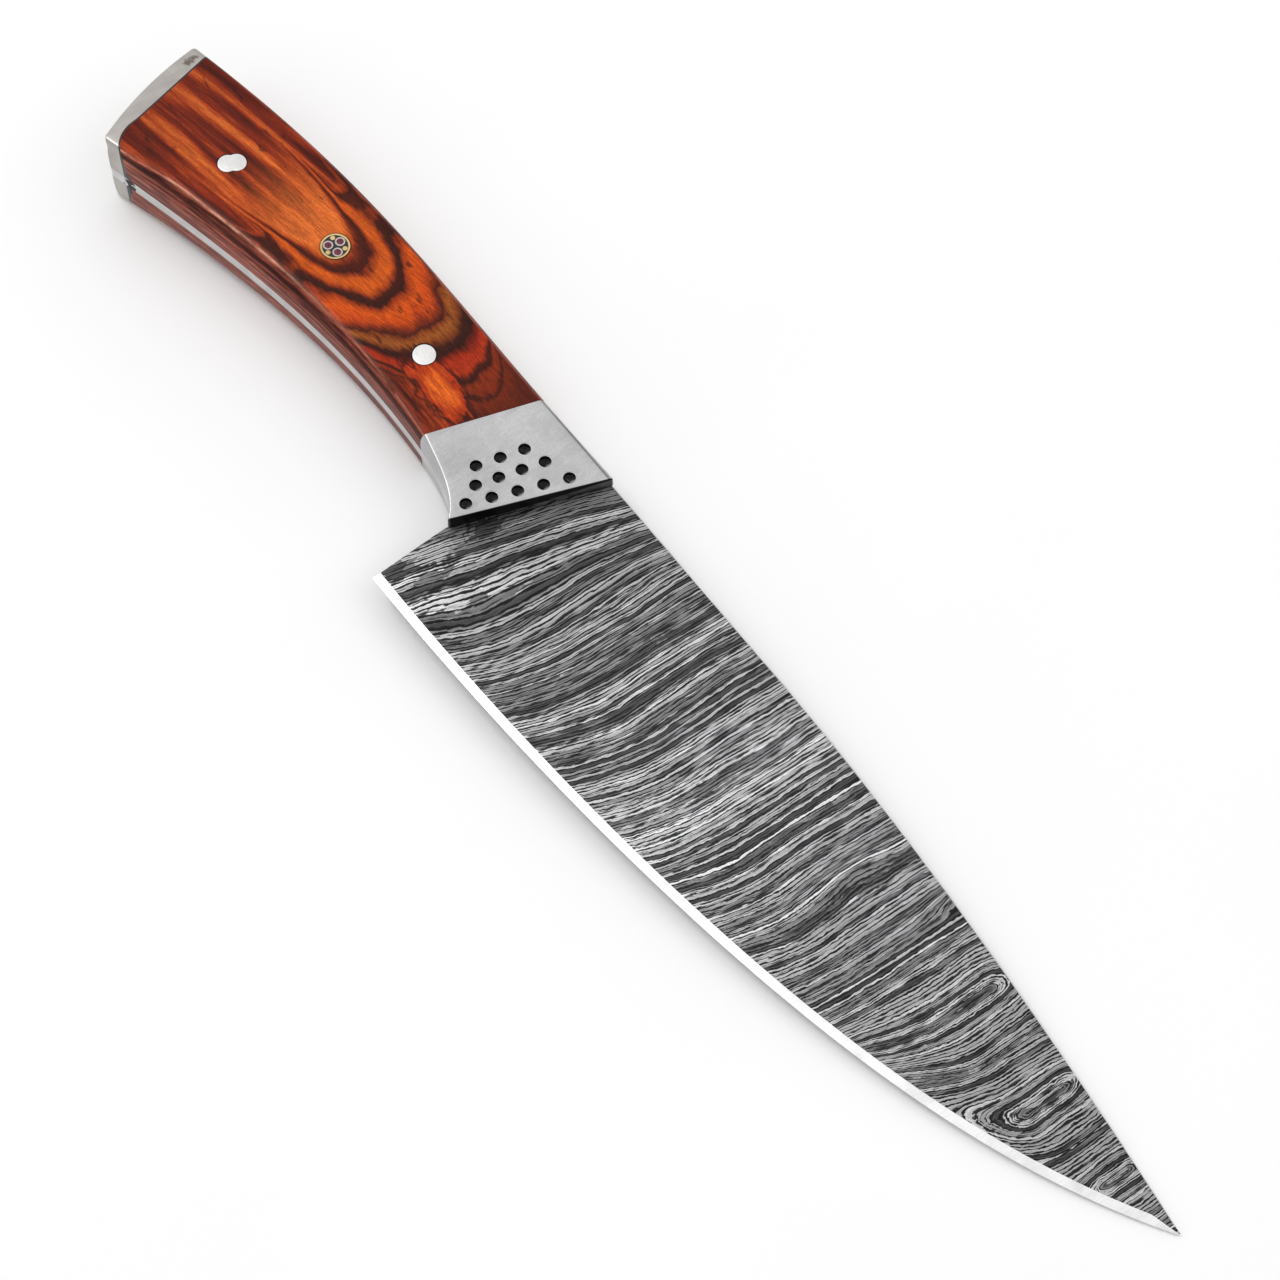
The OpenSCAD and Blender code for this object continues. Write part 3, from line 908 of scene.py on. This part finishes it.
# The eyes that the layers wrap round towards the tip, each a place and half length. Where the
# layers arch: place, half widths, and how far they bend. Patches of one level: place, half
# widths, and that level.
EYES = [(133.4, -22.0, 13.0), (157.4, -14.5, 4.2), (177.0, -13.4, 2.2)]
ARCHES = [(113.5, -2.0, 2.4, 5.0, 2.2), (98.0, -15.0, 4.5, 7.0, 1.2)]
PATCHES = [(-7.5, -27.0, 3.0, 5.0, 0.05), (-9.0, -38.0, 3.5, 5.5, 0.62), (-11.0, -47.0, 3.5, 3.0, 0.1),
           (-4.0, -44.0, 3.0, 7.0, 0.14), (66.0, -26.0, 2.0, 5.0, 0.14), (34.0, -18.0, 1.5, 8.0, 0.12),
           (155.0, -14.3, 0.9, 4.6, 0.8), (175.0, -13.3, 0.7, 2.6, 0.8)]

# Tones of the etched layers, from the dark ones to the brightest
LAYER_TONES = [(0.0, grey(68)), (0.13, grey(82)), (0.15, grey(118)), (0.36, grey(138)),
               (0.38, grey(156)), (0.84, grey(184)), (0.87, grey(204))]


def ground_steel(name, shade, roughness, run=(30.0, 0.25, 0.25), wear_and_light=0.06):
    """Steel finished with fine scratches that run one way, over faint cloudy patches."""
    p = Paint(name, metallic=1.0, roughness=roughness)
    scratch = p.streaks(*run, 3.0)
    cloud = p.noise(p.place, 0.16, 3.0)
    colour = p.mix(p.between(cloud, 0.35, 0.65), shade, tuple(v * 0.86 for v in shade[:3]) + (1,))
    p.colour(p.shade(colour, p.between(scratch, 0.3, 0.7, 1 - wear_and_light, 1 + wear_and_light)))
    p.roughness(p.plus(p.times(scratch, 0.6), p.times(cloud, 0.4)), roughness - 0.08, roughness + 0.1)
    p.bump(scratch, 0.012)
    return p


def bolster_steel():
    """Satin steel, darker towards the belly as painted shade, with a thin darker line just below the
    spine, and painted shade on its front face: black above, grey below.
    """
    p = ground_steel("bolster_steel", grey(198), 0.36, (0.5, 3.0, 0.8), 0.035)
    plain = p.colour_so_far()
    grain = p.noise(p.place, 2.6, 3.0)
    plain = p.shade(plain, p.between(grain, 0.3, 0.7, 0.94, 1.05))
    # painted shade: the bolster darker towards the belly
    plain = p.shade(plain, p.between(p.y, -26.0, -10.0, 0.93, 1.02))
    below_spine = p.weighted(p.x, 0.035, p.times(p.y, -1.0))
    # a thin darker line just below the spine edge
    under_spine_dark = p.bell(below_spine, 0.75, 0.22)
    plain = p.mix(p.times(under_spine_dark, 0.75), plain, tone(84, 82, 82))
    # painted shade on the front face: black towards its top, grey below
    behind_front = p.math("SUBTRACT", p.times(p.y, FRONT_SLOPE), p.x)
    height = p.weighted(p.y, -0.12, p.math("ABSOLUTE", p.z))
    front_face_shade = p.mix(p.between(height, 3.6, 4.0), grey(150), grey(14))
    p.colour(p.mix(p.between(behind_front, 0.03, 0.14, 0.95, 0.0), plain, front_face_shade))
    return p.material


def cap_steel():
    """Satin steel, browned in one place beside the spine."""
    p = ground_steel("cap_steel", tone(180, 175, 170), 0.36, (0.6, 5.0, 5.0), 0.05)
    plain = p.colour_so_far()
    cloud = p.plus(p.noise(p.place, 1.1, 3.0), -0.5)
    brown = p.between(p.weighted(cloud, 1.6, p.hill_at(-136.6, -12.8, 1.2, 2.4)), 0.35, 0.9, 0.0, 0.8)
    p.colour(p.mix(brown, plain, tone(96, 82, 72)))
    return p.material


def dimple_steel():
    """Inside of the dimples: near black and mottled as painted shade, painted a lit grey on the walls that
    lean one way, and bright steel at the mouth as a painted highlight ring.
    """
    p = Paint("dimple_steel", metallic=0.6, roughness=0.45)
    hollow_mottle = p.noise(p.place, 1.4, 3.0)
    # painted shade: the hollow near black, mottled
    hollow_shade = p.ramp(hollow_mottle, [(0.35, grey(8)), (0.62, grey(22)), (0.76, grey(96))])
    face = p.weighted(p.x, -BOLSTER_RUN, p.weighted(p.y, BOLSTER_RISE, FRONT_HALF))
    depth = p.math("SUBTRACT", face, p.math("ABSOLUTE", p.z))
    # painted light: walls whose normal leans to -x are painted a lit grey, in patches
    normal = p.add("ShaderNodeTexCoord").outputs["Normal"]
    leaning = p.add("ShaderNodeSeparateXYZ", {"Vector": normal}).outputs["X"]
    wear_and_light = p.times(p.between(leaning, -0.3, -0.05, 1.0, 0.0), p.between(hollow_mottle, 0.3, 0.5, 0.5, 1.0))
    hollow_shade = p.mix(wear_and_light, hollow_shade, grey(184))
    # painted highlight: a bright steel ring at the mouth
    p.colour(p.mix(p.between(depth, 0.16, 0.32, 1.0, 0.0), hollow_shade, grey(226)))
    p.bump(hollow_mottle, 0.03)
    return p.material


def tang_steel():
    """Edge of the tang: draw-filed along its length, with black glue run out near the butt."""
    p = ground_steel("tang_steel", tone(210, 209, 209), 0.4, (40.0, 3.0, 0.12), 0.1)
    plain = p.colour_so_far()
    ragged = p.weighted(p.plus(p.noise(p.place, 0.9, 2.0), -0.5), 5.0, p.x)
    glue = p.times(p.between(ragged, -122.6, -122.3, 1.0, 0.0), p.between(ragged, -125.2, -124.9))
    glue = p.times(glue, p.between(p.y, -34.0, -33.0, 1.0, 0.0))
    p.colour(p.mix(glue, plain, tone(22, 18, 18)))
    return p.material


def bevel_steel():
    """The sharpened bevel, bright from the stone, its scratches square to the edge."""
    p = ground_steel("bevel_steel", grey(250), 0.34, (0.18, 3.0, 2.0), 0.05)
    return p.material


def dark_resin(name="black_resin"):
    p = Paint(name, roughness=0.3)
    cloud = p.noise(p.place, 1.2, 3.0)
    p.colour(p.ramp(cloud, [(0.3, tone(14, 11, 11)), (0.7, tone(40, 32, 30))]))
    p.roughness(cloud, 0.22, 0.45)
    p.bump(cloud, 0.02)
    return p.material


def core_resin():
    """Maroon filler of the small tubes, mottled."""
    p = Paint("core_resin", roughness=0.3)
    cloud = p.noise(p.place, 1.8, 3.0)
    p.colour(p.ramp(cloud, [(0.3, tone(52, 18, 26)), (0.55, tone(96, 30, 44)), (0.75, tone(128, 52, 66))]))
    p.roughness(cloud, 0.2, 0.4)
    p.bump(cloud, 0.02)
    return p.material


# Colours of the wood's rings, by the place in millimetres where each crosses the handle's axis
RINGS = [(-80, (220, 110, 44)), (-76.5, (190, 82, 26)), (-74.4, (120, 40, 13)), (-73.0, (78, 23, 8)),
         (-71.2, (64, 19, 7)), (-70.2, (128, 44, 13)), (-68.6, (196, 82, 18)), (-66.0, (198, 84, 18)),
         (-64.4, (150, 54, 13)), (-63.2, (68, 21, 8)), (-61.2, (52, 16, 7)), (-60.2, (142, 48, 13)),
         (-57.5, (206, 80, 14)), (-54.5, (190, 68, 14)), (-52.6, (122, 40, 12)), (-51.2, (62, 21, 9)),
         (-50.2, (124, 56, 18)), (-48.4, (150, 80, 28)), (-46.4, (116, 54, 18)), (-45, (58, 21, 9)),
         (-43, (48, 15, 7)), (-41.6, (104, 24, 8)), (-39.6, (160, 42, 11)), (-37.2, (166, 48, 13)),
         (-35.9, (76, 21, 8)), (-34.8, (52, 16, 7)), (-33.6, (128, 42, 12)), (-31.6, (118, 38, 12)),
         (-30.4, (62, 20, 8)), (-29.2, (110, 36, 12)), (-24, (84, 27, 11))]


def scale_wood():
    """Dyed hardwood: nested arched rings ahead of the mosaic pin, long streaks behind it."""
    p = Paint("scale_wood", roughness=0.35, coat=0.04, coat_roughness=0.12)
    p.shader.inputs["Specular IOR Level"].default_value = 0.12
    back = p.math("MAXIMUM", p.weighted(p.x, -1.0, -40.0), 0.0)
    axis = p.weighted(p.math("POWER", back, 1.5), -0.0135, -11.0)
    axis = p.weighted(p.between(p.x, -66.0, -46.0), 2.6, axis)
    across = p.math("SUBTRACT", p.y, axis)
    upper = p.times(p.math("MAXIMUM", across, 0.0), p.between(p.x, -74.0, -54.0, 0.0, 0.3))
    arched = p.plus(across, upper)
    first = ring_place(p, arched, 10.5)
    width = p.between_straight(first, -80.0, -38.0, 7.4, 15.0)
    width = p.times(width, p.weighted(p.between(p.x, -46.0, -38.0), -0.3, 1.0))
    ring = ring_place(p, arched, width)
    sway = p.streaks(9.0, 6.0, 9.0, 2.0)
    ring = p.weighted(p.plus(sway, -0.5), 7.0, ring)
    feather = p.streaks(3.2, 0.8, 0.8, 3.0)
    ring = p.weighted(p.plus(feather, -0.5), 2.4, ring)
    first_ring, last_ring = RINGS[0][0], RINGS[-1][0]
    span = last_ring - first_ring
    stops = [((place - first_ring) / span, tone(*rgb)) for place, rgb in RINGS]
    colour = p.ramp(p.times(p.plus(ring, -first_ring), 1 / span), stops)
    bands = p.streaks(42.0, 2.6, 3.0, 3.0, across)
    streaked = p.ramp(bands, [(0.33, tone(78, 20, 7)), (0.42, tone(110, 31, 11)), (0.5, tone(140, 44, 15)),
                              (0.58, tone(184, 73, 25)), (0.68, tone(216, 106, 42))])
    outer_back = p.times(p.between(p.x, -92.0, -66.0, 1.0, 0.0), p.between(ring, -61.0, -57.0))
    colour = p.mix(outer_back, colour, p.shade(streaked, 0.75))
    behind = p.between(ring, -84.0, -76.0, 1.0, 0.0)
    towards_butt = p.between(p.x, -118.0, -80.0, 0.95, 0.2)
    colour = p.mix(p.times(behind, towards_butt), colour, streaked)
    streaked = p.shade(streaked, p.between(p.x, -124.0, -96.0, 0.8, 0.95))
    colour = p.mix(p.between(p.x, -112.0, -84.0, 0.95, 0.0), colour, streaked)
    colour = bolster_end_tones(p, colour, feather)
    colour = side_tones(p, colour, across)
    fibre = p.streaks(4.0, 0.3, 0.3, 4.0, across)
    pores = p.streaks(3.2, 0.16, 0.16, 1.0, across)
    colour = p.shade(colour, p.between(fibre, 0.3, 0.7, 0.72, 1.24))
    colour = p.shade(colour, p.between(pores, 0.26, 0.42, 0.82, 1.0))
    grain = p.noise(p.vector(p.x, p.times(p.y, 1.8), p.times(p.z, 1.8)), 1.6, 3.0, 0.7)
    colour = p.shade(colour, p.between(grain, 0.3, 0.7, 0.84, 1.16))
    colour = near_pins(p, colour)
    p.colour(colour)
    p.roughness(fibre, 0.46, 0.28)
    p.bump(p.weighted(pores, 0.6, fibre), 0.03)
    return p.material


def ring_place(p, across, width):
    """Where the ring through a point crosses the axis: the rings are deep arches."""
    share = p.math("ABSOLUTE", p.math("DIVIDE", across, width))
    return p.weighted(p.math("POWER", share, 3.0), 18.0, p.x)


def bolster_end_tones(p, colour, feather):
    """The figure near the bolster: a flame of orange under the rings, brown lines below it."""
    low = p.between(p.weighted(p.x, 0.12, p.y), -21.0, -23.5)
    brown_lines = p.ramp(p.streaks(20.0, 0.9, 1.0, 3.0), [
        (0.36, tone(58, 18, 8)), (0.5, tone(116, 37, 13)), (0.64, tone(156, 56, 19))])
    colour = p.mix(p.times(low, p.between(p.x, -46.0, -40.0)), colour, brown_lines)
    soft = p.streaks(5.0, 1.8, 3.0, 2.0)
    flame = p.weighted(p.plus(soft, -0.5), 1.1, p.hill_at(-37.0, -16.8, 9.5, 4.2))
    flame = p.weighted(p.plus(feather, -0.5), 0.35, flame)
    bright = p.mix(p.between(flame, 0.5, 1.0), tone(170, 52, 13), tone(220, 98, 28))
    colour = p.mix(p.between(flame, 0.3, 0.5), colour, bright)
    rim = p.bell(flame, 0.3, 0.09)
    return p.mix(p.times(rim, 0.8), colour, tone(54, 17, 8))


def side_tones(p, colour, across):
    """The sides of the scales, below their flats, show dark laminations end on, with a painted shade band
    under the ridge, a painted highlight along the ridge and glue at the butt end.
    """
    flat = p.weighted(p.x, -FLAT_SLOPE, FLATS_MEET * FLAT_SLOPE)
    below = p.math("SUBTRACT", flat, p.math("ABSOLUTE", p.z))
    mottle = p.times(p.streaks(7.0, 5.0, 0.9, 3.0), 0.4)
    lamination = p.weighted(p.streaks(60.0, 14.0, 0.5, 3.0), 0.6, mottle)
    sides = p.ramp(lamination, [
        (0.34, tone(40, 14, 11)), (0.44, tone(86, 32, 23)), (0.52, tone(130, 60, 44)),
        (0.6, tone(154, 80, 62)), (0.7, tone(184, 116, 98))])
    # painted shade: a dark band just under the ridge
    ridge_shade_band = p.bell(below, 1.5, 0.6)
    sides = p.mix(p.times(ridge_shade_band, 0.85), sides, tone(44, 15, 11))
    # painted highlight along the ridge: patchy, on the belly side, strongest towards the butt
    wear_and_light = p.between(p.streaks(8.0, 30.0, 30.0, 4.0), 0.38, 0.62, 0.1, 0.75)
    wear_and_light = p.times(wear_and_light, p.between(across, -6.0, -3.0, 1.0, 0.0))
    wear_and_light = p.times(wear_and_light, p.between(p.x, -86.0, -64.0, 1.0, 0.25))
    ridge_highlight = p.times(p.bell(below, 0.3, 0.17), wear_and_light)
    sides = p.mix(ridge_highlight, sides, tone(232, 168, 140))
    end_glue = p.hill(p.plus(p.x, 124.6), p.plus(p.math("ABSOLUTE", p.z), -2.6), 1.5, 2.2)
    end_glue = p.weighted(p.plus(p.noise(p.place, 1.2, 2.0), -0.5), 1.2, end_glue)
    end_glue = p.times(p.between(end_glue, 0.5, 0.62), p.between(across, -6.0, -3.0, 1.0, 0.0))
    sides = p.mix(end_glue, sides, tone(16, 10, 9))
    return p.mix(p.between(below, 0.06, 0.3), colour, sides)


def near_pins(p, colour):
    """Glue and heat leave the wood dark in a thin ring round the front and mosaic pins."""
    for (x, y), radius in ((FRONT_PIN, FRONT_PIN_RADIUS), (MOSAIC_PIN, MOSAIC_RADIUS)):
        aside, up = p.plus(p.x, -x), p.plus(p.y, -y)
        distance = p.math("SQRT", p.plus(p.times(aside, aside), p.times(up, up)))
        ring = p.between(p.plus(distance, -radius), 0.05, 0.5, 0.75, 0.0)
        colour = p.mix(ring, colour, tone(40, 16, 12))
    return colour


# --- Camera, lights and floor ---------------------------------------------------------


def make_floor():
    p = Paint("floor_paper", roughness=0.7)
    cloud = p.noise(p.place, 0.01, 2.0)
    p.colour(p.ramp(cloud, [(0.3, tone(248, 248, 248)), (0.7, tone(250, 250, 250))]))
    p.bump(p.noise(p.place, 1.5, 2.0), 0.01)
    bpy.ops.mesh.primitive_plane_add(size=8, location=(0, 0, cad_low.z))
    floor = bpy.context.object
    floor.name = "floor"
    floor.data.materials.append(p.material)


def aim(piece, target):
    piece.rotation_euler = (Vector(target) - piece.location).to_track_quat("-Z", "Y").to_euler()


def make_light(name, place, size, power):
    data = bpy.data.lights.new(name, "AREA")
    data.shape = "DISK"
    data.size = size
    data.energy = power
    light = bpy.data.objects.new(name, data)
    light.location = place
    aim(light, (0, 0, 0))
    bpy.context.scene.collection.objects.link(light)


def make_studio():
    world = bpy.data.worlds.new("studio")
    world.use_nodes = True
    background = world.node_tree.nodes["Background"]
    background.inputs["Color"].default_value = (1, 1, 1, 1)
    background.inputs["Strength"].default_value = 0.82
    bpy.context.scene.world = world
    bpy.context.scene.view_settings.view_transform = "Standard"
    make_light("key", (-0.75, -0.3, 1.45), 0.7, 6)
    make_light("fill", (0.8, 0.9, 1.2), 1.2, 2.5)


def make_camera():
    azimuth, elevation, roll = math.radians(55.06), math.radians(60.61), math.radians(-2.1)
    distance = 0.7025
    target = Vector((0.00673, 0.00866, 0.00676))
    away = Vector((math.sin(azimuth) * math.cos(elevation), -math.cos(azimuth) * math.cos(elevation),
                   math.sin(elevation)))
    data = bpy.data.cameras.new("camera")
    data.sensor_width = 36
    data.lens = 98.44
    data.clip_start = 0.05
    camera = bpy.data.objects.new("camera", data)
    camera.location = target + distance * away
    facing = (-away).to_track_quat("-Z", "Y")
    turn = Matrix.Rotation(roll, 3, "Z")
    camera.rotation_euler = (facing.to_matrix() @ turn).to_euler()
    bpy.context.scene.collection.objects.link(camera)
    bpy.context.scene.camera = camera


# --- The knife ------------------------------------------------------------------------


def paint_node(name, material):
    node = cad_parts[name]
    if not node.material_slots:
        node.data.materials.append(material)
    for place in node.material_slots:
        place.material = material


def make_knife():
    bolster_metal = bolster_steel()
    dimple_metal = dimple_steel()
    cap_metal = cap_steel()
    tang_metal = tang_steel()
    spine_metal = ground_steel("spine_steel", grey(226), 0.4, (12.0, 1.0, 0.15), 0.1).material
    pin_metal = ground_steel("pin_steel", tone(250, 249, 247), 0.25, (2.0, 0.15, 2.0), 0.03).material
    brass = ground_steel("pin_brass", tone(226, 200, 142), 0.28, (1.0, 0.12, 1.0), 0.08).material
    nickel = ground_steel("pin_nickel", tone(206, 190, 190), 0.3, (0.8, 0.12, 1.0), 0.08).material
    dowel_metal = ground_steel("dowel_steel", tone(160, 160, 162), 0.4, (0.2, 0.2, 4.0), 0.08).material
    glue = dark_resin()
    wood = scale_wood()
    core = core_resin()

    keep(make_blade([layered_steel(), spine_metal, bevel_steel(), tang_metal]), "blade_steel", "blade")
    for word, side in (("right", 1), ("left", -1)):
        bolster = half_piece(f"bolster_{word}_piece", side, (front_line, joint_line), bolster_height,
                             [bolster_metal], 40, BOLSTER_ROUND, (FRONT_ROUND, 0))
        cut(bolster, dimple_cutter(side, dimple_metal))
        keep(bolster, "bolster_steel", f"bolster_{word}")
        scale = half_piece(f"scale_{word}_piece", side, (joint_line, wood_end_line), wood_height,
                           [wood], 90, HANDLE_ROUND)
        cut(scale, pin_holes(glue))
        keep(scale, "scale_wood", f"scale_{word}")
        seam = half_piece(f"epoxy_seam_{word}_piece", side, (wood_end_line, cap_line), wood_height,
                          [glue], 2, HANDLE_ROUND)
        keep(seam, "epoxy", f"epoxy_seam_{word}")
        cap = half_piece(f"butt_cap_{word}_piece", side, (cap_line, butt_line), wood_height,
                         [cap_metal], 10, HANDLE_ROUND, (0, BUTT_ROUND))
        keep(cap, "cap_steel", f"butt_cap_{word}")
    front = pin_solid(FRONT_PIN, round_outline(FRONT_PIN_RADIUS))
    keep(new_mesh("front_pin_piece", *front, [pin_metal]), "pin_steel", "front_pin")
    rear = pin_solid(REAR_PIN, REAR_OUTLINE)
    keep(new_mesh("rear_pin_piece", *rear, [pin_metal]), "pin_steel", "rear_pin")

    paint_node("mosaic_tube", brass)
    paint_node("mosaic_resin", glue)
    for i in (1, 2, 3):
        paint_node(f"mosaic_tubelet_{i}", nickel)
        paint_node(f"mosaic_core_{i}", core)
        paint_node(f"mosaic_rod_{i}", brass)
    for word in ("upper", "lower"):
        paint_node(f"bolster_dowel_{word}", dowel_metal)
        paint_node(f"butt_dowel_{word}", dowel_metal)


make_camera()
make_studio()
make_floor()
make_knife()
